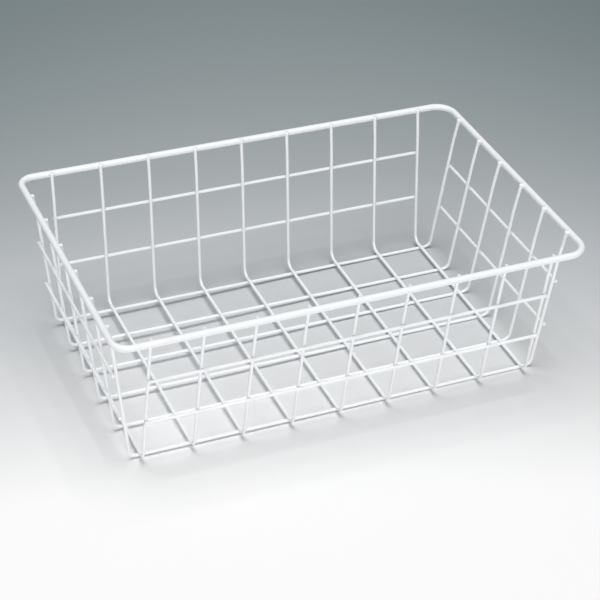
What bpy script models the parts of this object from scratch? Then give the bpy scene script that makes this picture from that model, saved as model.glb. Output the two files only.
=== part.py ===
"""Welded wire basket with flared walls, every wire its own sub-part.

Six lengthwise wires lie lowest and nine cross wires lie on them. Each is one wire bent
to a U, so its two ends stand up as the walls' uprights. Two straight rails on each wall
are welded to the outside of the uprights, and a thick rim runs round outside their tips.
X is the basket's length, Y its width and Z is up, with the origin under its centre.
"""
import math

import bpy
from mathutils import Vector

# Wires and the room that is left where two of them meet
WIRE_DIAMETER = 0.0032
RIM_DIAMETER = 0.0064
WELD_GAP = 0.0003

# The basket's form: base lines, where the walls' centre lines meet the floor's, and the rim
BASE_LENGTH = 0.4212
BASE_WIDTH = 0.2486
END_FLARE = 0.0240
SIDE_FLARE = 0.0252
RIM_HEIGHT = 0.1535
LEFT_CORNER_RADIUS = 0.0145
RIGHT_CORNER_RADIUS = 0.0190

# Bends between floor and wall, and where the outermost wires cross the floor beside them
LENGTH_BEND_RADIUS = 0.0115
CROSS_BEND_RADIUS = 0.0095
CROSS_SETBACK = 0.0005
LENGTH_SETBACK = 0.0025

# How far a tip stands above the rim's centre line, and a rail past its last upright
TIP_RISE = 0.0030
RAIL_OVERRUN = 0.0025

# Places of the wires: cross wires evenly, as one grid that sits a little to the left,
# lengthwise wires as shares of the outermost one's distance from the middle, rails as
# shares of the rim's height
CROSS_COUNT = 9
CROSS_GRID_OFFSET = -0.0016
LENGTH_WIRE_SHARES = (-1.0, -0.603, -0.2, 0.2, 0.603, 1.0)
SIDE_RAIL_HEIGHT_SHARES = (0.356, 0.691)
END_RAIL_HEIGHT_SHARES = (0.322, 0.648)

# Roundness of the drawn tubes and bends
WIRE_BEVEL_RESOLUTION = 4
RIM_BEVEL_RESOLUTION = 6
BEND_STEPS = 6
CORNER_STEPS = 8
TIP_RING_ANGLE = math.radians(45)

# White coating over steel
COATING_COLOUR = (0.83, 0.84, 0.83, 1.0)
COATING_ROUGHNESS = 0.32
COATING_METALLIC = 0.0


def tube_sides(bevel_resolution):
    """A bevelled curve has four sides and two more for each step of resolution."""
    return 4 + 2 * bevel_resolution


def flat_radius(diameter, bevel_resolution):
    """Distance from a faceted tube's centre line to the middle of a facet."""
    return diameter / 2 * math.cos(math.pi / tube_sides(bevel_resolution))


# The lengthwise wires rest on their lowest facets, and the cross wires lie on top of them
LENGTH_FLOOR = flat_radius(WIRE_DIAMETER, WIRE_BEVEL_RESOLUTION)
CROSS_FLOOR = LENGTH_FLOOR + WIRE_DIAMETER + WELD_GAP


class Wall:
    """One pair of opposite walls: where they start, how they lean and how they bend."""

    def __init__(self, half_base, floor, flare, bend_radius):
        self.half_base = half_base
        self.floor = floor
        self.rim_place = half_base + flare
        self.bend_radius = bend_radius
        rise = RIM_HEIGHT - floor
        rim_reach = (RIM_DIAMETER + WIRE_DIAMETER) / 2 + WELD_GAP
        self.lean = math.atan2(flare, rise) - math.asin(rim_reach / math.hypot(flare, rise))
        self.turn = math.pi / 2 - self.lean
        self.bend_run = bend_radius * math.tan(self.turn / 2)

    def upright(self, height):
        """Distance of the uprights' centre lines from the middle, at a height."""
        return self.half_base + (height - self.floor) * math.tan(self.lean)

    def rail(self, height):
        """The same for a rail, which lies against the outside of the uprights."""
        return self.upright(height) + (WIRE_DIAMETER + WELD_GAP) / math.cos(self.lean)

    def half_path(self):
        """Right half of a bent wire as (across, height): the bend, then the tip."""
        centre = self.half_base - self.bend_run
        points = []
        for step in range(BEND_STEPS + 1):
            angle = self.turn * step / BEND_STEPS
            across = centre + self.bend_radius * math.sin(angle)
            height = self.floor + self.bend_radius * (1 - math.cos(angle))
            points.append((across, height))
        tip = RIM_HEIGHT + TIP_RISE
        points.append((self.upright(tip), tip))
        return points


END_WALL = Wall(BASE_LENGTH / 2, LENGTH_FLOOR, END_FLARE, LENGTH_BEND_RADIUS)
SIDE_WALL = Wall(BASE_WIDTH / 2, CROSS_FLOOR, SIDE_FLARE, CROSS_BEND_RADIUS)
OUTER_CROSS_PLACE = END_WALL.half_base - END_WALL.bend_run - CROSS_SETBACK
OUTER_LENGTH_PLACE = SIDE_WALL.half_base - SIDE_WALL.bend_run - LENGTH_SETBACK


def coating(name):
    """White coated metal for one sub-part."""
    material = bpy.data.materials.new(name + "_coating")
    material.use_nodes = True
    shader = material.node_tree.nodes["Principled BSDF"]
    shader.inputs["Base Color"].default_value = COATING_COLOUR
    shader.inputs["Roughness"].default_value = COATING_ROUGHNESS
    shader.inputs["Metallic"].default_value = COATING_METALLIC
    material.diffuse_color = COATING_COLOUR
    return material


def tube(name, rings, diameter, bevel_resolution, closed, parent):
    """A tube along (point, radius share) rings, with a flat facet facing down."""
    curve = bpy.data.curves.new(name, "CURVE")
    curve.dimensions = "3D"
    curve.bevel_depth = diameter / 2
    curve.bevel_resolution = bevel_resolution
    curve.use_fill_caps = not closed
    spline = curve.splines.new("POLY")
    spline.points.add(len(rings) - 1)
    spline.use_cyclic_u = closed
    spline.use_smooth = True
    for point, (place, radius_share) in zip(spline.points, rings):
        point.co = (*place, 1.0)
        point.radius = radius_share
        point.tilt = math.pi / tube_sides(bevel_resolution)
    curve.materials.append(coating(name))
    piece = bpy.data.objects.new(name, curve)
    piece.parent = parent
    parent.users_collection[0].objects.link(piece)
    return piece


def end_rings(tip, inner, radius):
    """Two rings of a wire's end, outermost first: one drawn in at the tip, one full."""
    along = (inner - tip).normalized()
    drawn_in = tip + along * radius * (1 - math.cos(TIP_RING_ANGLE))
    full = tip + along * radius
    return [(drawn_in, math.sin(TIP_RING_ANGLE)), (full, 1.0)]


def round_tips(points, diameter):
    """Draws the wire in at both ends, as a coated cut end is rounded."""
    start = end_rings(points[0], points[1], diameter / 2)
    end = end_rings(points[-1], points[-2], diameter / 2)
    between = [(point, 1.0) for point in points[1:-1]]
    return start + between + end[::-1]


def bent_wire(name, wall, parent):
    """A wire bent to a U in its own YZ plane, its two ends rising with the walls."""
    half = wall.half_path()
    points = [Vector((0, -across, height)) for across, height in reversed(half)]
    points += [Vector((0, across, height)) for across, height in half]
    rings = round_tips(points, WIRE_DIAMETER)
    return tube(name, rings, WIRE_DIAMETER, WIRE_BEVEL_RESOLUTION, False, parent)


def rail(name, half_length, parent):
    """A straight rail along its own X."""
    points = [Vector((-half_length, 0, 0)), Vector((half_length, 0, 0))]
    rings = round_tips(points, WIRE_DIAMETER)
    return tube(name, rings, WIRE_DIAMETER, WIRE_BEVEL_RESOLUTION, False, parent)


def build_rim(parent):
    """The thick wire round the top: straight sides and four corners, one closed loop."""
    half_length = END_WALL.rim_place
    half_width = SIDE_WALL.rim_place
    length_room = half_length - OUTER_CROSS_PLACE - abs(CROSS_GRID_OFFSET) - WIRE_DIAMETER / 2
    width_room = half_width - OUTER_LENGTH_PLACE - WIRE_DIAMETER / 2
    rings = []
    for quarter in range(4):
        side_x = (1, -1, -1, 1)[quarter]
        side_y = (1, 1, -1, -1)[quarter]
        corner_radius = RIGHT_CORNER_RADIUS if side_x > 0 else LEFT_CORNER_RADIUS
        radius = min(corner_radius, length_room, width_room)
        centre = Vector((side_x * (half_length - radius), side_y * (half_width - radius), 0))
        for step in range(CORNER_STEPS + 1):
            angle = math.pi / 2 * (quarter + step / CORNER_STEPS)
            rings.append((centre + Vector((math.cos(angle), math.sin(angle), 0)) * radius, 1.0))
    rim = tube("rim", rings, RIM_DIAMETER, RIM_BEVEL_RESOLUTION, True, parent)
    rim.location = (0, 0, RIM_HEIGHT)


def build_cross_wires(parent):
    """Nine wires from front wall to back wall, left to right, over the lengthwise ones."""
    for number in range(CROSS_COUNT):
        wire = bent_wire(f"cross_wire_{number + 1}", SIDE_WALL, parent)
        share = 2 * number / (CROSS_COUNT - 1) - 1
        wire.location = (CROSS_GRID_OFFSET + share * OUTER_CROSS_PLACE, 0, 0)


def build_length_wires(parent):
    """Six wires from left wall to right wall, front to back, that the basket rests on."""
    for number, share in enumerate(LENGTH_WIRE_SHARES):
        wire = bent_wire(f"length_wire_{number + 1}", END_WALL, parent)
        wire.location = (0, share * OUTER_LENGTH_PLACE, 0)
        wire.rotation_euler = (0, 0, -math.pi / 2)


def build_side_rails(parent):
    """Two rails along the front wall and two along the back wall."""
    half_length = OUTER_CROSS_PLACE + RAIL_OVERRUN
    for wall_name, side in (("front", -1), ("back", 1)):
        for level, share in zip(("lower", "upper"), SIDE_RAIL_HEIGHT_SHARES):
            piece = rail(f"{wall_name}_rail_{level}", half_length, parent)
            height = share * RIM_HEIGHT
            piece.location = (CROSS_GRID_OFFSET, side * SIDE_WALL.rail(height), height)


def build_end_rails(parent):
    """Two rails across the left wall and two across the right wall."""
    half_length = OUTER_LENGTH_PLACE + RAIL_OVERRUN
    for wall_name, side in (("left", -1), ("right", 1)):
        for level, share in zip(("lower", "upper"), END_RAIL_HEIGHT_SHARES):
            piece = rail(f"{wall_name}_rail_{level}", half_length, parent)
            height = share * RIM_HEIGHT
            piece.location = (side * END_WALL.rail(height), 0, height)
            piece.rotation_euler = (0, 0, math.pi / 2)


def main():
    """Clears the file and builds the basket under one empty."""
    for old in list(bpy.data.objects):
        bpy.data.objects.remove(old)
    collection = bpy.data.collections.new("wire_basket")
    bpy.context.scene.collection.children.link(collection)
    basket = bpy.data.objects.new("basket", None)
    collection.objects.link(basket)
    build_rim(basket)
    build_cross_wires(basket)
    build_length_wires(basket)
    build_side_rails(basket)
    build_end_rails(basket)


main()
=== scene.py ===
import math

import bpy
import numpy as np
from mathutils import Matrix, Vector


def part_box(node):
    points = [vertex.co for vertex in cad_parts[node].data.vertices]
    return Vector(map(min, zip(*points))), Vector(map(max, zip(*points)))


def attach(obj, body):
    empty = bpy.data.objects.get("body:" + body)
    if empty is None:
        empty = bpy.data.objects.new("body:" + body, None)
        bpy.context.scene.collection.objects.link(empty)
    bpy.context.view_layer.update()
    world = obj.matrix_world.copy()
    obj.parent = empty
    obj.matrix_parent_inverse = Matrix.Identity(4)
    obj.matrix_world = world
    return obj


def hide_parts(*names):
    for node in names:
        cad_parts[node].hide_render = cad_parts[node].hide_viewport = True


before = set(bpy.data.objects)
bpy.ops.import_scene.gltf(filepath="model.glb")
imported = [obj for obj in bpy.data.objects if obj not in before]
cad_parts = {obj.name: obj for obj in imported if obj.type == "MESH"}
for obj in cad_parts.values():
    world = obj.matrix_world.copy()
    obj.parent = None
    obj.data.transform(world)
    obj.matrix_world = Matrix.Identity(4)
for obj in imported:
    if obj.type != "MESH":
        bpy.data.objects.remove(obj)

bl_info = {
    "name": "Coated Wire Basket",
    "version": (1, 0, 0),
    "blender": (4, 5, 0),
    "location": "3D View > Sidebar > Basket",
    "description": "Draws a welded wire basket in its white coating around the basket's solids",
    "category": "Add Mesh",
}

# Metres in a millimetre, in which the coating's small sizes are written
MM = 0.001

BODY = "root"
CROSS_WIRES = sorted(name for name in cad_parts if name.startswith("cross_wire"))
LENGTH_WIRES = sorted(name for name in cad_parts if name.startswith("length_wire"))
SIDE_RAILS = ("front_rail_lower", "front_rail_upper", "back_rail_lower", "back_rail_upper")
END_RAILS = ("left_rail_lower", "left_rail_upper", "right_rail_lower", "right_rail_upper")

X_AXIS = np.array((1.0, 0.0, 0.0))
Y_AXIS = np.array((0.0, 1.0, 0.0))
Z_AXIS = np.array((0.0, 0.0, 1.0))

WIRE_SLOT = "wire_coating"
RIM_SLOT = "rim_coating"

# How far a wire goes on past a crossing where its end is out of reach
ENDLESS = 10.0
# Keeps divisions away from zero
TINY = 1e-12


def middle(node):
    """Centre of a solid's box."""
    low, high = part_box(node)
    return (np.array(low) + np.array(high)) / 2


# Sizes and colours that a user can change


class BasketSizes(bpy.types.PropertyGroup):
    """Sizes of the wires and of the coating that runs over them."""

    wire: bpy.props.FloatProperty(
        name="Mesh wire", description="Diameter of the mesh wire over its coating",
        default=0.0032, min=0.001, subtype="DISTANCE", unit="LENGTH")
    rim: bpy.props.FloatProperty(
        name="Rim wire", description="Diameter of the rim wire over its coating",
        default=0.0064, min=0.001, subtype="DISTANCE", unit="LENGTH")
    gap: bpy.props.FloatProperty(
        name="Weld gap", description="Room between two touching wires, which the coating closes",
        default=0.0003, min=0.0, subtype="DISTANCE", unit="LENGTH")
    cross_bend: bpy.props.FloatProperty(
        name="Cross wire bend", description="Radius of a cross wire's bend between floor and wall",
        default=0.0095, min=0.003, subtype="DISTANCE", unit="LENGTH")
    length_bend: bpy.props.FloatProperty(
        name="Lengthwise wire bend", description="Radius of a lengthwise wire's bend",
        default=0.0080, min=0.003, subtype="DISTANCE", unit="LENGTH")
    right_corner: bpy.props.FloatProperty(
        name="Right corners", description="Radius of the rim's right corners, on its centre line",
        default=0.0190, min=0.005, subtype="DISTANCE", unit="LENGTH")
    left_corner: bpy.props.FloatProperty(
        name="Left corners", description="Radius of the rim's left corners, on its centre line",
        default=0.0145, min=0.005, subtype="DISTANCE", unit="LENGTH")
    press: bpy.props.FloatProperty(
        name="Press", description="How far the rim and an upright are pressed into each other",
        default=0.0009, min=0.0, max=0.0015, subtype="DISTANCE", unit="LENGTH")
    mesh_fillet: bpy.props.FloatProperty(
        name="Mesh fillet", description="Reach of the coating's fillet where two mesh wires cross",
        default=0.0016, min=0.0005, subtype="DISTANCE", unit="LENGTH")
    rim_fillet: bpy.props.FloatProperty(
        name="Rim fillet", description="Reach of the coating's fillet between an upright and the rim",
        default=0.0025, min=0.0005, subtype="DISTANCE", unit="LENGTH")
    tip_swell: bpy.props.FloatProperty(
        name="Tip swell", description="Coating that gathers round a wire's cut end",
        default=0.00022, min=0.0, subtype="DISTANCE", unit="LENGTH")


class CoatingLook(bpy.types.PropertyGroup):
    """Colour and gloss of the coating."""

    # Painted light: the mesh wire's white is set lighter than the rim's, though both are one coating,
    # to stand in for light on the thin wires
    mesh_white_painted_brighter: bpy.props.FloatVectorProperty(
        name="Mesh white", description="Colour of the coating on the mesh wire",
        default=(0.932, 0.950, 0.968), size=3, min=0.0, max=1.0, subtype="COLOR")
    rim_white: bpy.props.FloatVectorProperty(
        name="Rim white", description="Colour of the coating on the rim",
        default=(0.883, 0.900, 0.917), size=3, min=0.0, max=1.0, subtype="COLOR")
    thinness: bpy.props.FloatProperty(
        name="Thin white", description="Share of the white that is left where the coating is thinner",
        default=0.97, min=0.0, max=1.0, subtype="FACTOR")
    # Painted shade: near each weld the coating darkens in speckles towards this colour, where shade
    # falls in the crevice
    crevice_shade_colour: bpy.props.FloatVectorProperty(
        name="Crevice", description="Colour of the coating in the crevices of the welds",
        default=(0.74, 0.745, 0.745), size=3, min=0.0, max=1.0, subtype="COLOR")
    roughness: bpy.props.FloatProperty(
        name="Roughness", description="Roughness of the coating",
        default=0.50, min=0.0, max=1.0, subtype="FACTOR")
    gloss: bpy.props.FloatProperty(
        name="Gloss", description="Weight of the clear skin on the coating",
        default=0.08, min=0.0, max=1.0, subtype="FACTOR")
    peel: bpy.props.FloatProperty(
        name="Orange peel", description="Height of the coating's fine unevenness",
        default=0.00002, min=0.0, subtype="DISTANCE", unit="LENGTH")


class StageLook(bpy.types.PropertyGroup):
    """Floor, lamps and camera."""

    # Painted light: the floor's colours fall from white in front to blue-grey behind and to the sides
    near: bpy.props.FloatVectorProperty(
        name="Near floor", description="Colour of the floor in front",
        default=(0.985, 0.985, 0.985), size=3, min=0.0, max=1.0, subtype="COLOR")
    far: bpy.props.FloatVectorProperty(
        name="Far floor", description="Colour that the floor falls to behind",
        default=(0.162, 0.210, 0.220), size=3, min=0.0, max=1.0, subtype="COLOR")
    between: bpy.props.FloatVectorProperty(
        name="Floor between", description="Colour of the floor at the between share of the near colour",
        default=(0.517, 0.540, 0.556), size=3, min=0.0, max=1.0, subtype="COLOR")
    middle: bpy.props.FloatProperty(
        name="Middle tone", description="Share of the near colour under the basket's middle",
        default=0.575, min=0.0, max=1.0, subtype="FACTOR")
    fading: bpy.props.FloatProperty(
        name="Fading length", description="Way over which the near colour's share falls to 1/e",
        default=0.397, min=0.05, subtype="DISTANCE", unit="LENGTH")
    hollow: bpy.props.FloatProperty(
        name="Hollow", description="Depth of the floor's shallow hollow under the basket",
        default=0.0055, min=0.0, max=0.02, subtype="DISTANCE", unit="LENGTH")
    room: bpy.props.FloatProperty(
        name="Room light", description="Even light from all round",
        default=0.15, min=0.0)
    key: bpy.props.FloatProperty(
        name="Overhead light", description="Power of the soft box above",
        default=198.0, min=0.0, unit="POWER")
    fill: bpy.props.FloatProperty(
        name="Front light", description="Power of the wide soft box in front",
        default=117.0, min=0.0, unit="POWER")
    focal: bpy.props.FloatProperty(
        name="Focal length", description="Camera lens on a 36 mm sensor",
        default=114.2, min=10.0, unit="CAMERA")
    azimuth: bpy.props.FloatProperty(
        name="Azimuth", description="How far the camera stands round to the left",
        default=math.radians(-24.97), subtype="ANGLE", unit="ROTATION")
    elevation: bpy.props.FloatProperty(
        name="Elevation", description="How far the camera looks down",
        default=math.radians(35.0), subtype="ANGLE", unit="ROTATION")
    roll: bpy.props.FloatProperty(
        name="Roll", description="How far the camera is turned about its own axis",
        default=math.radians(3.21), subtype="ANGLE", unit="ROTATION")
    aim: bpy.props.FloatVectorProperty(
        name="Aim", description="The basket's middle from the camera: right, up and away",
        default=(-0.0050, 0.01316, 1.87602), size=3, subtype="TRANSLATION", unit="LENGTH")
    aim_height: bpy.props.FloatProperty(
        name="Aim height", description="Height of the point that the aim is measured to",
        default=0.070, subtype="DISTANCE", unit="LENGTH")


# Centre lines of the wires


class Wall:
    """A pair of opposite walls, read from the two rails that lie against their uprights.

    across is 0 or 1, the axis along which the walls stand apart. The uprights' centre line
    is a straight line in the plane of that axis and height: the rails' line, moved inwards
    by one wire and the weld gap. It meets the floor wires' height at half_base.
    """

    def __init__(self, across, lower_rail, upper_rail, wire_node, bend, sizes):
        low, high = middle(lower_rail), middle(upper_rail)
        self.across = across
        self.axes = (X_AXIS, Y_AXIS) if across == 0 else (Y_AXIS, X_AXIS)
        self.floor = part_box(wire_node)[0][2] + sizes.wire / 2
        self.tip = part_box(wire_node)[1][2]
        self.slope = abs(high[across] - low[across]) / (high[2] - low[2])
        self.lean = math.atan(self.slope)
        self.start = abs(low[across]) - (sizes.wire + sizes.gap) / math.cos(self.lean)
        self.start_height = low[2]
        self.half_base = self.place(self.floor)
        self.bend = bend
        self.turn = math.pi / 2 - self.lean
        self.half_floor = self.half_base - bend * math.tan(self.turn / 2)
        self.bend_end = self.half_floor + bend * self.turn
        bend_top = self.floor + bend * (1 - math.cos(self.turn))
        self.half_wire = self.bend_end + (self.tip - bend_top) / math.cos(self.lean)
        self.press = sizes.press

    def place(self, height):
        """Distance of the uprights' centre lines from the middle, at a height."""
        return self.start + (height - self.start_height) * self.slope

    def along(self, height):
        """How far along the bent wire, from its middle, it passes a height on the wall."""
        return self.half_wire - (self.tip - height) / math.cos(self.lean)

    def upright(self, side, station, moved=0.0):
        """An upright as a line: a point at the floor's height, moved outwards, and its direction."""
        point = np.zeros(3)
        point[self.across] = side * (self.half_base + moved)
        point[1 - self.across] = station
        point[2] = self.floor
        direction = np.zeros(3)
        direction[self.across] = side * math.sin(self.lean)
        direction[2] = math.cos(self.lean)
        return point, direction

    def upright_length(self):
        """Length of an upright from the floor's height to its tip."""
        return (self.tip - self.floor) / math.cos(self.lean)


class Path:
    """Centre line of one wire at given stations: points, directions and inward normals."""

    def __init__(self, points, directions, normals):
        self.points = points
        self.directions = directions
        self.normals = normals


# How far below its tip an upright starts to ease into the rim
PRESS_LENGTH = 30 * MM


def bent_wire_path(wall, station, along):
    """Centre line of a U-wire: a floor run, two arcs and two straight uprights.

    Counted from the middle, the wire is straight up to half_floor, then turns about a
    centre one bend radius above it by the wall's turn, then runs straight on. Towards the
    tip it eases outwards into the rim, by a smooth step of height over the press length, too
    little to turn its direction. The left half mirrors the right one.
    """
    side = np.where(along < 0, -1.0, 1.0)
    run = np.abs(along)
    angle = np.clip((run - wall.half_floor) / wall.bend, 0, wall.turn)
    floor_run = np.minimum(run, wall.half_floor)
    wall_run = np.maximum(run - wall.bend_end, 0)
    place = floor_run + wall.bend * np.sin(angle) + wall_run * math.cos(wall.turn)
    height = wall.floor + wall.bend * (1 - np.cos(angle)) + wall_run * math.sin(wall.turn)
    rise = np.clip((height - wall.tip) / PRESS_LENGTH + 1, 0, 1)
    place = place + wall.press * rise ** 2 * (3 - 2 * rise)
    points = np.zeros((len(along), 3))
    points[:, wall.across] = side * place
    points[:, 1 - wall.across] = station
    points[:, 2] = height
    directions = np.zeros_like(points)
    directions[:, wall.across] = np.cos(angle)
    directions[:, 2] = side * np.sin(angle)
    normals = np.zeros_like(points)
    normals[:, wall.across] = -side * np.sin(angle)
    normals[:, 2] = np.cos(angle)
    return Path(points, directions, normals)


def rail_path(centre, direction, along):
    """Centre line of a straight rail through its centre."""
    points = centre + along[:, None] * direction
    directions = np.broadcast_to(direction, points.shape).copy()
    normals = np.broadcast_to(Z_AXIS, points.shape).copy()
    return Path(points, directions, normals)


class RimLoop:
    """The rim's centre line: a rounded rectangle, counted from the middle of its right side.

    A quarter runs up half the width, round a quarter circle and along half the length. The
    others are its mirror images, the second and fourth run backwards. Each has the radius of
    its own corner.
    """

    def __init__(self, sizes):
        low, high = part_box("rim")
        self.half_length = high[0] - sizes.rim / 2
        self.half_width = high[1] - sizes.rim / 2
        self.height = (high[2] + low[2]) / 2
        self.radii = np.array((sizes.right_corner, sizes.left_corner,
                               sizes.left_corner, sizes.right_corner))
        self.up = self.half_width - self.radii
        self.arcs = self.radii * math.pi / 2
        self.quarters = self.up + self.arcs + self.half_length - self.radii
        self.starts = np.cumsum(self.quarters) - self.quarters
        self.total = self.quarters.sum()

    def station(self, quarter, place):
        """How far along the loop it passes a place on its right, back, left or front side."""
        from_middle = (place, -place, -place, place)[quarter]
        return (self.starts[quarter] + from_middle) % self.total

    def corner_stations(self, count):
        """Even stations over the four corners' arcs."""
        parts = []
        for turn in range(4):
            straight = self.half_length - self.radii[turn] if turn % 2 else self.up[turn]
            start = self.starts[turn] + straight
            parts.append(np.linspace(start, start + self.arcs[turn], count))
        return parts

    def path(self, along):
        """The centre line at stations along the loop."""
        turn = np.searchsorted(self.starts, along, side="right") - 1
        radius, up, arc = self.radii[turn], self.up[turn], self.arcs[turn]
        rest = along - self.starts[turn]
        backwards = turn % 2 == 1
        run = np.where(backwards, self.quarters[turn] - rest, rest)
        angle = np.clip((run - up) / radius, 0, math.pi / 2)
        x = self.half_length - radius + radius * np.cos(angle) - np.maximum(run - up - arc, 0)
        y = np.minimum(run, up) + radius * np.sin(angle)
        side_x = np.where((turn == 0) | (turn == 3), 1.0, -1.0)
        side_y = np.where(turn < 2, 1.0, -1.0)
        way = np.where(backwards, -1.0, 1.0)
        points = np.stack((side_x * x, side_y * y, np.full_like(x, self.height)), axis=1)
        directions = np.stack((-side_x * way * np.sin(angle), side_y * way * np.cos(angle),
                               np.zeros_like(x)), axis=1)
        normals = np.broadcast_to(Z_AXIS, points.shape).copy()
        return Path(points, directions, normals)


# The coating's surface over the wires and their welds


class Crossings:
    """Wires that one wire is welded to: where along it, and each of them as a line that may end."""

    def __init__(self):
        self.along = []
        self.points = []
        self.directions = []
        self.radii = []
        self.ends = []

    def add(self, along, line, radius, end=ENDLESS):
        """One crossing. end is how far along its direction the other wire's axis goes on."""
        self.along.append(along)
        self.points.append(line[0])
        self.directions.append(line[1])
        self.radii.append(radius)
        self.ends.append(end)

    def nearest(self, along, loop_length=None):
        """For each ring, the values of the crossing nearest along the wire."""
        away = np.abs(np.array(self.along)[None, :] - along[:, None])
        if loop_length:
            away = np.minimum(away, loop_length - away)
        chosen = np.argmin(away, axis=1)
        return (np.array(self.points)[chosen], np.array(self.directions)[chosen],
                np.array(self.radii)[chosen], np.array(self.ends)[chosen])


def distance_to(places, points, directions, radii, ends):
    """Distance from places to round wires with domed ends, and the direction away from each.

    A place's foot on the wire's axis is its projection, held at the axis's end. The distance
    is the length from the foot less the wire's radius.
    """
    away = places - points
    foot = np.minimum((away * directions).sum(-1), ends)
    away = away - foot[..., None] * directions
    length = np.linalg.norm(away, axis=-1)
    return length - radii, away / np.maximum(length, TINY)[..., None]


def spread(values, dimensions):
    """Gives per-ring values as many dimensions as they are compared with."""
    return values.reshape(values.shape[0], *([1] * dimensions), *values.shape[1:])


# Step along a spoke in search of the coating, and how many fillets far it is followed
MARCH_STEP = 0.08 * MM
MARCH_REACH = 2.6
# How deep the coating goes on inside the other wire
SINK = 0.35 * MM
# How many fillets away from a weld the painted crevice shade fades out
CREVICE_SHADE_REACH = 2


def unit(vectors):
    """Vectors brought to length one."""
    return vectors / np.linalg.norm(vectors, axis=-1, keepdims=True)


def spokes_about(path, sides):
    """Directions from the centre line to the surface, ring by ring."""
    angle = np.linspace(0, 2 * math.pi, sides, endpoint=False)[None, :, None]
    binormals = np.cross(path.directions, path.normals)
    return np.cos(angle) * path.normals[:, None, :] + np.sin(angle) * binormals[:, None, :]


def bare_surface(path, base, slope, sides):
    """Points and outward directions of a tube of radius base, whose slope leans the directions."""
    spokes = spokes_about(path, sides)
    points = path.points[:, None, :] + spokes * base[:, None, None]
    return points, unit(spokes - slope[:, None, None] * path.directions[:, None, :])


def own_share(near, far, fillet):
    """How far a place belongs to its own wire: 0 to 1, by its distances to both wires."""
    return np.clip(0.5 + 0.5 * (far - near) / fillet, 0, 1)


def coated_surface(path, base, slope, sides, others, fillet):
    """Points and outward directions of a coating that runs over the wires that it crosses.

    Near a weld the coating is the level set of the smooth union of both wires: with a and b
    the distances to this wire and the other, and h = 1/2 + (b - a) / 2 fillet held between 0
    and 1, the set is where b (1 - h) + a h - fillet h (1 - h) is zero. It is found by
    stepping outwards along each spoke, and ends just inside the other wire.
    """
    bare, own = bare_surface(path, base, slope, sides)
    spokes = spokes_about(path, sides)
    steps = np.arange(0, MARCH_REACH * fillet + SINK, MARCH_STEP)
    places = bare[:, :, None, :] + spokes[:, :, None, :] * steps[:, None]
    far, _ = distance_to(places, *(spread(value, 2) for value in others))
    share = own_share(steps, far, fillet)
    level = far * (1 - share) + steps * share - fillet * share * (1 - share)
    stop = (level > 0) | (far < -SINK)
    first = np.maximum(np.argmax(stop, axis=-1), 1)
    here = np.take_along_axis(level, first[..., None], -1)[..., 0]
    before = np.take_along_axis(level, first[..., None] - 1, -1)[..., 0]
    part = np.where(here > 0, before / np.minimum(before - here, -TINY), 1.0)
    raised = (first - 1 + np.clip(part, 0, 1)) * MARCH_STEP
    points = bare + spokes * raised[..., None]
    far, away = distance_to(points, *(spread(value, 1) for value in others))
    share = own_share(raised, far, fillet)[..., None]
    return points, unit(own * share + away * (1 - share))


def painted_shade_shares(points, others, fillet):
    """How near each point is to a welded wire: 1 on its surface, 0 from two fillets away. It places the
    painted shade in the welds' crevices.
    """
    far, _ = distance_to(points, *(spread(value, 1) for value in others))
    return np.clip(1 - far / (CREVICE_SHADE_REACH * fillet), 0, 1) ** 2


def tube_mesh(name, path, points, normals, painted_shade, closed):
    """Mesh of a tube from its rings: quads between rings, and a fan to a pole at each end."""
    rings, sides = points.shape[:2]
    corner = np.arange(rings * sides).reshape(rings, sides)
    after = corner if not closed else np.concatenate((corner, corner[:1]))
    low, high = after[:-1], after[1:]
    quads = np.stack((low, np.roll(low, -1, 1), np.roll(high, -1, 1), high), axis=-1).reshape(-1, 4)
    places = points.reshape(-1, 3)
    outward = normals.reshape(-1, 3)
    painted_shade_values = painted_shade.reshape(-1)
    faces = quads.tolist()
    if not closed:
        first, last = rings * sides, rings * sides + 1
        places = np.concatenate((places, path.points[:1], path.points[-1:]))
        outward = np.concatenate((outward, -path.directions[:1], path.directions[-1:]))
        painted_shade_values = np.concatenate((painted_shade_values, (0.0, 0.0)))
        start, end = corner[0], corner[-1]
        faces += np.stack((np.full(sides, first), np.roll(start, -1), start), axis=1).tolist()
        faces += np.stack((np.full(sides, last), end, np.roll(end, -1)), axis=1).tolist()
    mesh = bpy.data.meshes.new(name)
    mesh.from_pydata(places.tolist(), [], faces)
    mesh.shade_smooth()
    mesh.normals_split_custom_set_from_vertices(outward.tolist())
    # Closeness to a welded wire, where the shader paints shade into the crevice
    attribute = mesh.attributes.new("painted_shade_share", "FLOAT", "POINT")
    attribute.data.foreach_set("value", painted_shade_values.astype(np.float32))
    return mesh


# Between a wire's rings: on straight runs, at a weld that its coating runs over, at one that
# another wire's coating covers, and the least
STRAIGHT_STEP = 6.0 * MM
WELD_STEP = 0.34 * MM
FOOT_STEP = 1.0 * MM
LEAST_STEP = WELD_STEP / 4
BEND_STEP_ANGLE = math.radians(3.0)
# How many fillets past a wire's radius the close rings reach
WIRE_WELD_REACH = 1.2
RIM_WELD_REACH = 1.3
TIP_RINGS = 10
CORNER_RINGS = 32
WIRE_SIDES = 32
RIM_SIDES = 48


def rings_along(half, crossings, fillet, radius, carries, bends=()):
    """Stations of a wire's rings: close at welds and bends, and wide apart elsewhere."""
    parts = [np.arange(-half + radius, half - radius, STRAIGHT_STEP)]
    reach = radius + WIRE_WELD_REACH * fillet
    step = WELD_STEP if carries else FOOT_STEP
    for place in crossings.along:
        parts.append(place + np.arange(-reach, reach + step / 2, step))
    for start, end, bend in bends:
        parts.append(np.linspace(start, end, int((end - start) / bend / BEND_STEP_ANGLE) + 2))
    return spaced(parts)


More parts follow.
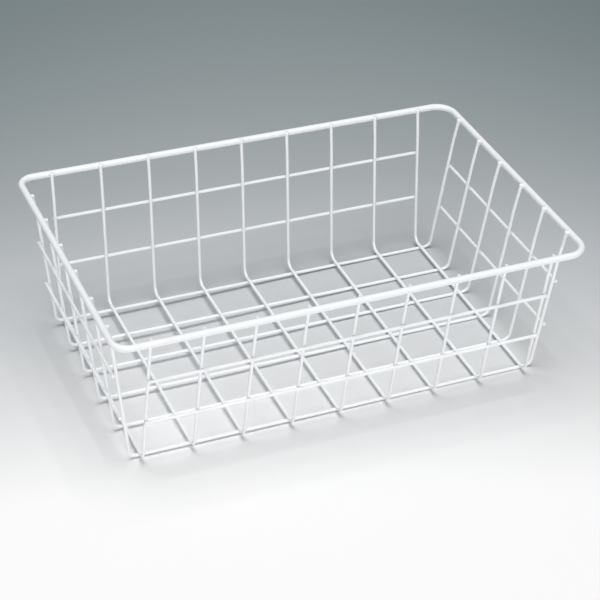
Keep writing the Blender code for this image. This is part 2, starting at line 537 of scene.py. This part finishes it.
def spaced(parts):
    """All stations in order, without those that lie close behind another."""
    stations = np.sort(np.concatenate(parts))
    return stations[np.concatenate(([True], np.diff(stations) > LEAST_STEP))]


# The neck below a dome, with rings of its own: where it starts and ends before the dome
NECK_START = 3.0 * MM
NECK_END = 0.3 * MM
NECK_RINGS = 7
NECK_CLEARANCE = 0.2 * MM
# The last ring's distance from the pole, and the least radius of any ring, in radii
POLE_DISTANCE_SHARE = 1e-3
POLE_RADIUS_SHARE = 0.02
# The dome's superellipse, and the swelling's place and breadth in radii
DOME_POWER = 3.0
SWELL_PLACE_SHARE = 1.1
SWELL_BREADTH_SHARE = 0.9


def with_tips(stations, half, radius):
    """Adds the necks' and domes' stations at both ends, closer together towards the pole."""
    angle = np.linspace(0, math.pi / 2, TIP_RINGS + 1)[1:]
    dome = half - radius * (1 - np.cos(angle[::-1]))
    dome = np.sort(np.append(dome, half - radius * POLE_DISTANCE_SHARE))
    neck = half - radius - np.linspace(NECK_START, NECK_END, NECK_RINGS)
    inner = stations[np.abs(stations) < half - radius - NECK_START - NECK_CLEARANCE]
    right = np.concatenate((neck, dome))
    return np.concatenate((-right[::-1], inner, right))


def tip_profile(along, half, radius, swell):
    """Radius of an open wire along it, and its slope.

    Over the last radius it closes as a superellipse, (1 - x to the n) to the 1/n with x the
    share of the way to the pole. Before that the coating swells by a bell curve.
    """
    left = half - np.abs(along)
    share = np.clip(1 - left / radius, 0, 1)
    full = (1 - share ** DOME_POWER) ** (1 / DOME_POWER)
    from_swell = (left - radius * SWELL_PLACE_SHARE) / (radius * SWELL_BREADTH_SHARE)
    bulge = swell * np.exp(-from_swell ** 2)
    profile = np.maximum(full * (radius + bulge), radius * POLE_RADIUS_SHARE)
    return profile, np.gradient(profile, along)


# Materials


def feed(tree, socket, value):
    """Links a socket to another one, or sets it to a plain value."""
    if isinstance(value, bpy.types.NodeSocket):
        tree.links.new(value, socket)
    else:
        socket.default_value = value


def math_node(tree, operation, *values):
    """A Math node between sockets or plain numbers."""
    node = tree.nodes.new("ShaderNodeMath")
    node.operation = operation
    for socket, value in zip(node.inputs, values):
        feed(tree, socket, value)
    return node.outputs["Value"]


def noise_node(tree, place, grain, detail):
    """Noise with grains of a given size."""
    node = tree.nodes.new("ShaderNodeTexNoise")
    node.inputs["Scale"].default_value = 1 / grain
    node.inputs["Detail"].default_value = detail
    tree.links.new(place, node.inputs["Vector"])
    return node.outputs["Fac"]


def range_node(tree, value, before, after, interpolation="LINEAR"):
    """A value brought from one range to another and held within it."""
    node = tree.nodes.new("ShaderNodeMapRange")
    node.interpolation_type = interpolation
    node.inputs["From Min"].default_value, node.inputs["From Max"].default_value = before
    node.inputs["To Min"].default_value, node.inputs["To Max"].default_value = after
    tree.links.new(value, node.inputs["Value"])
    return node.outputs["Result"]


def mixed_colour(tree, share, first, second):
    """The first colour, turned into the second by a share."""
    node = tree.nodes.new("ShaderNodeMix")
    node.data_type = "RGBA"
    feed(tree, node.inputs["Factor"], share)
    feed(tree, node.inputs["A"], first)
    feed(tree, node.inputs["B"], second)
    return node.outputs["Result"]


# Gloss of the clear skin, and of the coating below it
SKIN_ROUGHNESS = 0.12
COATING_IOR = 1.5
COATING_SPECULAR = 0.35
# Clouds of thinner coating: their size, and the noise values over which they come in
CLOUD_GRAIN = 22 * MM
CLOUD_DETAIL = 3.0
CLOUD_RANGE = (0.42, 0.72)
# Specks of painted shade in the welds' crevices
SHADE_SPECK_GRAIN = 1.3 * MM
SHADE_SPECK_DETAIL = 4.0
PEEL_GRAIN = 1.1 * MM
PEEL_DETAIL = 1.5
# How much smoother and rougher than its mean the coating gets in places
ROUGHNESS_BELOW = 0.06
ROUGHNESS_ABOVE = 0.08
FULL_RANGE = (0.0, 1.0)


def coating_material(name, white, look):
    """White coating: cloudy thickness, painted shade in speckles in the welds' crevices, with fine
    orange peel.
    """
    material = bpy.data.materials.new(name)
    material.use_nodes = True
    tree = material.node_tree
    shader = tree.nodes["Principled BSDF"]
    shader.inputs["Coat Weight"].default_value = look.gloss
    shader.inputs["Coat Roughness"].default_value = SKIN_ROUGHNESS
    shader.inputs["IOR"].default_value = COATING_IOR
    shader.inputs["Specular IOR Level"].default_value = COATING_SPECULAR
    place = tree.nodes.new("ShaderNodeTexCoord").outputs["Object"]

    clouds = noise_node(tree, place, CLOUD_GRAIN, CLOUD_DETAIL)
    thin = range_node(tree, clouds, CLOUD_RANGE, FULL_RANGE)
    thin_white = [channel * look.thinness for channel in white]
    coating = mixed_colour(tree, thin, (*white, 1.0), (*thin_white, 1.0))
    # Painted shade: the coating darkens in speckles towards the crevice colour near each weld
    painted_shade = tree.nodes.new("ShaderNodeAttribute")
    painted_shade.attribute_name = "painted_shade_share"
    shade_specks = noise_node(tree, place, SHADE_SPECK_GRAIN, SHADE_SPECK_DETAIL)
    speckled_shade = math_node(tree, "MULTIPLY", painted_shade.outputs["Fac"], shade_specks)
    shaded_coating = mixed_colour(tree, speckled_shade, coating, (*look.crevice_shade_colour, 1.0))
    tree.links.new(shaded_coating, shader.inputs["Base Color"])

    roughness_range = (look.roughness - ROUGHNESS_BELOW, look.roughness + ROUGHNESS_ABOVE)
    rough = range_node(tree, clouds, FULL_RANGE, roughness_range)
    tree.links.new(rough, shader.inputs["Roughness"])
    peel = tree.nodes.new("ShaderNodeBump")
    peel.inputs["Distance"].default_value = look.peel
    peel.inputs["Strength"].default_value = 1.0
    tree.links.new(noise_node(tree, place, PEEL_GRAIN, PEEL_DETAIL), peel.inputs["Height"])
    tree.links.new(peel.outputs["Normal"], shader.inputs["Normal"])
    return material


def shared_material(slot, look):
    """The coating of a slot, made once."""
    name = slot + "_finish"
    # The mesh wire's white is painted lighter than the rim's to stand in for light
    white = look.rim_white if slot == RIM_SLOT else look.mesh_white_painted_brighter
    return bpy.data.materials.get(name) or coating_material(name, white, look)


# Pieces, each in the place of its solid


def add_piece(node, mesh, slot, look):
    """Puts a finished mesh in the scene in place of a solid."""
    if node + "_coated" in bpy.data.objects:
        raise RuntimeError(node + " is already drawn")
    piece = bpy.data.objects.new(node + "_coated", mesh)
    bpy.context.scene.collection.objects.link(piece)
    mesh.materials.append(shared_material(slot, look))
    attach(piece, BODY)
    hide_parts(node)
    return piece


def side_wall(sizes):
    """Front and back walls, of the cross wires."""
    return Wall(1, "front_rail_lower", "front_rail_upper", CROSS_WIRES[0], sizes.cross_bend, sizes)


def end_wall(sizes):
    """Left and right walls, of the lengthwise wires."""
    return Wall(0, "left_rail_lower", "left_rail_upper", LENGTH_WIRES[0], sizes.length_bend, sizes)


def floor_crossings(wall, wires, radius):
    """Where a bent wire crosses the other floor wires, as straight lines at their height."""
    across_axis, other_axis = wall.axes
    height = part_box(wires[0])[0][2] + radius
    crossings = Crossings()
    for wire in wires:
        place = middle(wire)[wall.across]
        crossings.add(place, (across_axis * place + Z_AXIS * height, other_axis), radius)
    return crossings


def add_wall_crossings(crossings, wall, rails, rim, sizes):
    """Adds where a bent wire passes its rails and the rim."""
    across_axis, other_axis = wall.axes
    for rail in rails:
        centre = middle(rail)
        side = 1.0 if centre[wall.across] > 0 else -1.0
        crossings.add(side * wall.along(centre[2]), (centre, other_axis), sizes.wire / 2)
    rim_place = (rim.half_length, rim.half_width)[wall.across]
    for side in (-1.0, 1.0):
        point = across_axis * side * rim_place + Z_AXIS * rim.height
        crossings.add(side * wall.along(rim.height), (point, other_axis), sizes.rim / 2)


def build_bent_wire(node, wall, floor_wires, rails, sizes, look, carries):
    """One U-wire with domed tips, welded to the other floor wires, its rails and the rim.

    Where it carries, its coating runs over the floor wires that it crosses.
    """
    radius, half, fillet = sizes.wire / 2, wall.half_wire, sizes.mesh_fillet
    floor = floor_crossings(wall, floor_wires, radius)
    every = floor_crossings(wall, floor_wires, radius)
    add_wall_crossings(every, wall, rails, RimLoop(sizes), sizes)
    bends = [(wall.half_floor, wall.bend_end, wall.bend),
             (-wall.bend_end, -wall.half_floor, wall.bend)]
    parts = [rings_along(half, every, fillet, radius, False, bends)]
    if carries:
        parts.append(rings_along(half, floor, fillet, radius, True))
    stations = with_tips(spaced(parts), half, radius)
    path = bent_wire_path(wall, middle(node)[1 - wall.across], stations)
    base, slope = tip_profile(stations, half, radius, sizes.tip_swell)
    if carries:
        nearest = floor.nearest(stations)
        points, normals = coated_surface(path, base, slope, WIRE_SIDES, nearest, fillet)
    else:
        points, normals = bare_surface(path, base, slope, WIRE_SIDES)
    painted_shade = painted_shade_shares(points, every.nearest(stations), fillet)
    mesh = tube_mesh(node + "_coated", path, points, normals, painted_shade, False)
    return add_piece(node, mesh, WIRE_SLOT, look)


def build_rail(node, wall, wires, sizes, look):
    """One straight rail with domed ends, whose coating runs over each upright that it crosses."""
    radius = sizes.wire / 2
    centre = middle(node)
    low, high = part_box(node)
    half = (high[1 - wall.across] - low[1 - wall.across]) / 2
    side = 1.0 if centre[wall.across] > 0 else -1.0
    crossings = Crossings()
    for wire in wires:
        station = middle(wire)[1 - wall.across]
        place = station - centre[1 - wall.across]
        crossings.add(place, wall.upright(side, station), radius)
    stations = rings_along(half, crossings, sizes.mesh_fillet, radius, True)
    stations = with_tips(stations, half, radius)
    path = rail_path(centre, wall.axes[1], stations)
    base, slope = tip_profile(stations, half, radius, sizes.tip_swell)
    nearest = crossings.nearest(stations)
    points, normals = coated_surface(path, base, slope, WIRE_SIDES, nearest, sizes.mesh_fillet)
    painted_shade = painted_shade_shares(points, nearest, sizes.mesh_fillet)
    mesh = tube_mesh(node + "_coated", path, points, normals, painted_shade, False)
    return add_piece(node, mesh, WIRE_SLOT, look)


def rim_crossings(rim, sizes):
    """Where the rim passes the uprights of all four walls, pressed into it."""
    radius = sizes.wire / 2
    crossings = Crossings()
    for wall, wires, quarters in ((end_wall(sizes), LENGTH_WIRES, (0, 2)),
                                  (side_wall(sizes), CROSS_WIRES, (1, 3))):
        end = wall.upright_length() - radius
        for wire in wires:
            place = middle(wire)[1 - wall.across]
            for side, quarter in zip((1.0, -1.0), quarters):
                upright = wall.upright(side, place, sizes.press)
                crossings.add(rim.station(quarter, place), upright, radius, end)
    return crossings


def build_rim(sizes, look):
    """The rim as one loop, whose coating runs over the tips of all uprights."""
    rim = RimLoop(sizes)
    crossings = rim_crossings(rim, sizes)
    parts = [np.arange(0, rim.total, STRAIGHT_STEP)]
    reach = sizes.wire / 2 + RIM_WELD_REACH * sizes.rim_fillet
    for place in crossings.along:
        parts.append((place + np.arange(-reach, reach, WELD_STEP)) % rim.total)
    parts += rim.corner_stations(CORNER_RINGS)
    stations = spaced(parts)
    path = rim.path(stations)
    base, slope = np.full(len(stations), sizes.rim / 2), np.zeros(len(stations))
    nearest = crossings.nearest(stations, rim.total)
    points, normals = coated_surface(path, base, slope, RIM_SIDES, nearest, sizes.rim_fillet)
    painted_shade = painted_shade_shares(points, nearest, sizes.rim_fillet)
    mesh = tube_mesh("rim_coated", path, points, normals, painted_shade, True)
    return add_piece("rim", mesh, RIM_SLOT, look)


# Operators for the pieces


class BASKET_OT_cross_wires(bpy.types.Operator):
    """Draw the nine cross wires, from the front wall over the floor to the back wall"""

    bl_idname = "basket.cross_wires"
    bl_label = "Cross Wires"

    def execute(self, context):
        sizes, look = context.scene.basket_sizes, context.scene.basket_coating
        wall = side_wall(sizes)
        for node in CROSS_WIRES:
            build_bent_wire(node, wall, LENGTH_WIRES, SIDE_RAILS, sizes, look, True)
        return {"FINISHED"}


class BASKET_OT_length_wires(bpy.types.Operator):
    """Draw the six lengthwise wires, from the left wall over the floor to the right wall"""

    bl_idname = "basket.length_wires"
    bl_label = "Lengthwise Wires"

    def execute(self, context):
        sizes, look = context.scene.basket_sizes, context.scene.basket_coating
        wall = end_wall(sizes)
        for node in LENGTH_WIRES:
            build_bent_wire(node, wall, CROSS_WIRES, END_RAILS, sizes, look, False)
        return {"FINISHED"}


class BASKET_OT_rails(bpy.types.Operator):
    """Draw the straight rails on the outside of the four walls"""

    bl_idname = "basket.rails"
    bl_label = "Rails"

    def execute(self, context):
        sizes, look = context.scene.basket_sizes, context.scene.basket_coating
        for node in SIDE_RAILS:
            build_rail(node, side_wall(sizes), CROSS_WIRES, sizes, look)
        for node in END_RAILS:
            build_rail(node, end_wall(sizes), LENGTH_WIRES, sizes, look)
        return {"FINISHED"}


class BASKET_OT_rim(bpy.types.Operator):
    """Draw the thick rim with the coated welds of all uprights"""

    bl_idname = "basket.rim"
    bl_label = "Rim"

    def execute(self, context):
        build_rim(context.scene.basket_sizes, context.scene.basket_coating)
        return {"FINISHED"}


# Stage


# The fall of the floor's tones, a painted fall of light towards the back and the sides: its turn
# against the camera's direction, how strongly it grows to the sides, and the place across and the depth
# that this counts from
FLOOR_TURN = math.radians(7.25)
FLOOR_SIDE_FALL = 1.32
FLOOR_SIDE_MIDDLE = 0.04
FLOOR_SIDE_START = -0.30
BETWEEN_SHARE = 0.35
FLOOR_SOFT_LIMIT = 0.12
# Between these distances the floor turns to the room's colour
FLOOR_PALE_RANGE = (1.1, 1.8)
FLOOR_ROUGHNESS = 0.8
ROOM_COLOUR = (0.72, 0.74, 0.75, 1.0)


def near_share(tree, place, look):
    """Share of the near colour at a place on the floor.

    With y the way from the basket's middle, away from the camera, x the way to the side and
    d = y + fall (x - middle)^2 (y - start), it is the middle tone times exp(-d / fading), held
    softly below one.
    """
    turn = tree.nodes.new("ShaderNodeVectorRotate")
    turn.rotation_type = "Z_AXIS"
    turn.inputs["Angle"].default_value = -look.azimuth - FLOOR_TURN
    tree.links.new(place, turn.inputs["Vector"])
    parts = tree.nodes.new("ShaderNodeSeparateXYZ")
    tree.links.new(turn.outputs["Vector"], parts.inputs["Vector"])
    across = math_node(tree, "SUBTRACT", parts.outputs["X"], FLOOR_SIDE_MIDDLE)
    squared = math_node(tree, "MULTIPLY", across, across)
    behind = math_node(tree, "SUBTRACT", parts.outputs["Y"], FLOOR_SIDE_START)
    aside = math_node(tree, "MULTIPLY", squared, behind)
    depth = math_node(tree, "MULTIPLY_ADD", aside, FLOOR_SIDE_FALL, parts.outputs["Y"])
    lengths = math_node(tree, "DIVIDE", depth, -look.fading)
    decay = math_node(tree, "POWER", math.e, lengths)
    share = math_node(tree, "MULTIPLY", decay, look.middle)
    return math_node(tree, "SMOOTH_MIN", share, 1.0, FLOOR_SOFT_LIMIT)


def floor_material(look):
    """Pale floor, painted white in front and greyer behind as a fall of light, that turns to the room's
    colour far off.
    """
    material = bpy.data.materials.new("studio_floor")
    material.use_nodes = True
    tree = material.node_tree
    shader = tree.nodes["Principled BSDF"]
    shader.inputs["Roughness"].default_value = FLOOR_ROUGHNESS
    shader.inputs["Specular IOR Level"].default_value = 0.0
    place = tree.nodes.new("ShaderNodeTexCoord").outputs["Object"]
    tone = tree.nodes.new("ShaderNodeValToRGB")
    stops = tone.color_ramp.elements
    stops[0].color = (*look.far, 1.0)
    stops[1].color = (*look.near, 1.0)
    stops.new(BETWEEN_SHARE).color = (*look.between, 1.0)
    tree.links.new(near_share(tree, place, look), tone.inputs["Fac"])
    reach = tree.nodes.new("ShaderNodeVectorMath")
    reach.operation = "LENGTH"
    tree.links.new(place, reach.inputs[0])
    far_off = range_node(tree, reach.outputs["Value"], FLOOR_PALE_RANGE, FULL_RANGE, "SMOOTHSTEP")
    colour = mixed_colour(tree, far_off, tone.outputs["Color"], ROOM_COLOUR)
    tree.links.new(colour, shader.inputs["Base Color"])
    return material


# Half the floor's side, and the finer grid in its middle
FLOOR_HALF = 4.0
FLOOR_FINE_HALF = 0.6
FLOOR_FINE_STEP = 0.01
FLOOR_COARSE_STEPS = 9
# The hollow's place, and how far it reaches lengthwise and across
HOLLOW_MIDDLE = (-0.14, 0.08)
HOLLOW_REACH = (0.20, 0.17)


def floor_height(x, y, depth):
    """Height of the floor: a bell-shaped hollow, minus depth times exp(-(x/a)^2 - (y/b)^2).

    x and y count from the hollow's middle, and a and b are its reach.
    """
    from_x = (x - HOLLOW_MIDDLE[0]) / HOLLOW_REACH[0]
    from_y = (y - HOLLOW_MIDDLE[1]) / HOLLOW_REACH[1]
    return -depth * np.exp(-from_x ** 2 - from_y ** 2)


def build_floor(look):
    """Floor at the height of the basket's feet, with a shallow hollow under its back left.

    The basket in the photo is a little bowed and lifts off the floor there, which shows in its
    shadows. Here the basket is true, and the floor gives way instead.
    """
    if "studio_floor" in bpy.data.objects:
        raise RuntimeError("the stage is already set")
    outer = np.linspace(FLOOR_FINE_HALF, FLOOR_HALF, FLOOR_COARSE_STEPS)[1:]
    inner = np.arange(-FLOOR_FINE_HALF, FLOOR_FINE_HALF + FLOOR_FINE_STEP / 2, FLOOR_FINE_STEP)
    line = np.concatenate((-outer[::-1], inner, outer))
    x, y = np.meshgrid(line, line)
    places = np.stack((x, y, floor_height(x, y, look.hollow)), axis=-1).reshape(-1, 3)
    corner = np.arange(len(places)).reshape(len(line), len(line))
    faces = np.stack((corner[:-1, :-1], corner[:-1, 1:], corner[1:, 1:], corner[1:, :-1]), axis=-1)
    mesh = bpy.data.meshes.new("studio_floor")
    mesh.from_pydata(places.tolist(), [], faces.reshape(-1, 4).tolist())
    mesh.shade_smooth()
    mesh.materials.append(floor_material(look))
    floor = bpy.data.objects.new("studio_floor", mesh)
    bpy.context.scene.collection.objects.link(floor)


ROOM_LIGHT = (1.0, 1.0, 1.0, 1.0)


def build_world(look):
    """Even room light, and a pale backdrop where the camera looks past the floor."""
    world = bpy.data.worlds.new("studio_room")
    world.use_nodes = True
    tree = world.node_tree
    nodes, links = tree.nodes, tree.links
    room = nodes["Background"]
    room.inputs["Color"].default_value = ROOM_LIGHT
    room.inputs["Strength"].default_value = look.room
    seen = nodes.new("ShaderNodeBackground")
    seen.inputs["Color"].default_value = ROOM_COLOUR
    seen.inputs["Strength"].default_value = 1.0
    ray = nodes.new("ShaderNodeLightPath")
    mirrored = math_node(tree, "MAXIMUM", ray.outputs["Is Camera Ray"], ray.outputs["Is Glossy Ray"])
    direct = math_node(tree, "MAXIMUM", mirrored, ray.outputs["Is Transmission Ray"])
    mix = nodes.new("ShaderNodeMixShader")
    links.new(direct, mix.inputs["Fac"])
    links.new(room.outputs["Background"], mix.inputs[1])
    links.new(seen.outputs["Background"], mix.inputs[2])
    links.new(mix.outputs["Shader"], nodes["World Output"].inputs["Surface"])
    bpy.context.scene.world = world


# Places and sizes of the soft boxes: one square above, one wide and low in front
KEY_PLACE = (-0.40, 0.00, 5.0)
KEY_SIZE = (3.0, 3.0)
FILL_PLACE = (-0.80, -4.90, 1.20)
FILL_SIZE = (4.8, 2.0)


def build_soft_box(name, place, size, power):
    """A rectangular lamp, as wide and high as its size, that faces the basket and isn't seen."""
    light = bpy.data.lights.new(name, "AREA")
    light.shape = "RECTANGLE"
    light.size, light.size_y = size
    light.energy = power
    lamp = bpy.data.objects.new(name, light)
    lamp.location = place
    lamp.rotation_mode = "QUATERNION"
    lamp.rotation_quaternion = (-Vector(place)).to_track_quat("-Z", "Y")
    lamp.visible_camera = False
    bpy.context.scene.collection.objects.link(lamp)


# The camera's sensor in millimetres, and what it sees from and to in metres
SENSOR_WIDTH = 36.0
CLIP_START = 0.05
CLIP_END = 50.0


def build_camera(look):
    """Camera from its angles: it looks along minus back, and sees the aim point at a fixed offset."""
    a, e = look.azimuth, look.elevation
    back = Vector((math.sin(a) * math.cos(e), -math.cos(a) * math.cos(e), math.sin(e)))
    level = Vector((math.cos(a), math.sin(a), 0.0))
    rise = back.cross(level)
    right = level * math.cos(look.roll) + rise * math.sin(look.roll)
    up = rise * math.cos(look.roll) - level * math.sin(look.roll)
    offset = right * look.aim[0] + up * look.aim[1] - back * look.aim[2]
    turn = Matrix((right, up, back)).transposed().to_4x4()
    data = bpy.data.cameras.new("view")
    data.sensor_width = SENSOR_WIDTH
    data.lens = look.focal
    data.clip_start = CLIP_START
    data.clip_end = CLIP_END
    camera = bpy.data.objects.new("view", data)
    camera.matrix_world = Matrix.Translation(Vector((0, 0, look.aim_height)) - offset) @ turn
    bpy.context.scene.collection.objects.link(camera)
    bpy.context.scene.camera = camera


class BASKET_OT_stage(bpy.types.Operator):
    """Set the floor, the room, the two soft boxes and the camera"""

    bl_idname = "basket.stage"
    bl_label = "Stage"

    def execute(self, context):
        look = context.scene.basket_stage
        build_floor(look)
        build_world(look)
        build_soft_box("overhead_box", KEY_PLACE, KEY_SIZE, look.key)
        build_soft_box("front_box", FILL_PLACE, FILL_SIZE, look.fill)
        build_camera(look)
        context.scene.view_settings.view_transform = "Standard"
        return {"FINISHED"}


# Panel and registration


class BASKET_PT_panel(bpy.types.Panel):
    """Lists the basket's pieces, sizes and colours"""

    bl_idname = "BASKET_PT_panel"
    bl_label = "Coated Wire Basket"
    bl_space_type = "VIEW_3D"
    bl_region_type = "UI"
    bl_category = "Basket"

    def draw(self, context):
        layout = self.layout
        for operator in OPERATORS:
            layout.operator(operator.bl_idname)
        for group in (context.scene.basket_sizes, context.scene.basket_coating,
                      context.scene.basket_stage):
            box = layout.box()
            for name in group.__annotations__:
                box.prop(group, name)


GROUPS = {"basket_sizes": BasketSizes, "basket_coating": CoatingLook, "basket_stage": StageLook}
OPERATORS = (BASKET_OT_cross_wires, BASKET_OT_length_wires, BASKET_OT_rails, BASKET_OT_rim,
             BASKET_OT_stage)


def register():
    """Registers the classes and gives the scene its settings."""
    for group in GROUPS.values():
        bpy.utils.register_class(group)
    for name, group in GROUPS.items():
        setattr(bpy.types.Scene, name, bpy.props.PointerProperty(type=group))
    for operator in OPERATORS:
        bpy.utils.register_class(operator)
    bpy.utils.register_class(BASKET_PT_panel)


def unregister():
    """Takes them away again, in reverse order."""
    bpy.utils.unregister_class(BASKET_PT_panel)
    for operator in reversed(OPERATORS):
        bpy.utils.unregister_class(operator)
    for name, group in reversed(GROUPS.items()):
        delattr(bpy.types.Scene, name)
        bpy.utils.unregister_class(group)


def main():
    """Builds every piece and the stage."""
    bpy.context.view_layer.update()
    register()
    bpy.ops.basket.cross_wires()
    bpy.ops.basket.length_wires()
    bpy.ops.basket.rails()
    bpy.ops.basket.rim()
    bpy.ops.basket.stage()


if __name__ == "__main__":
    main()
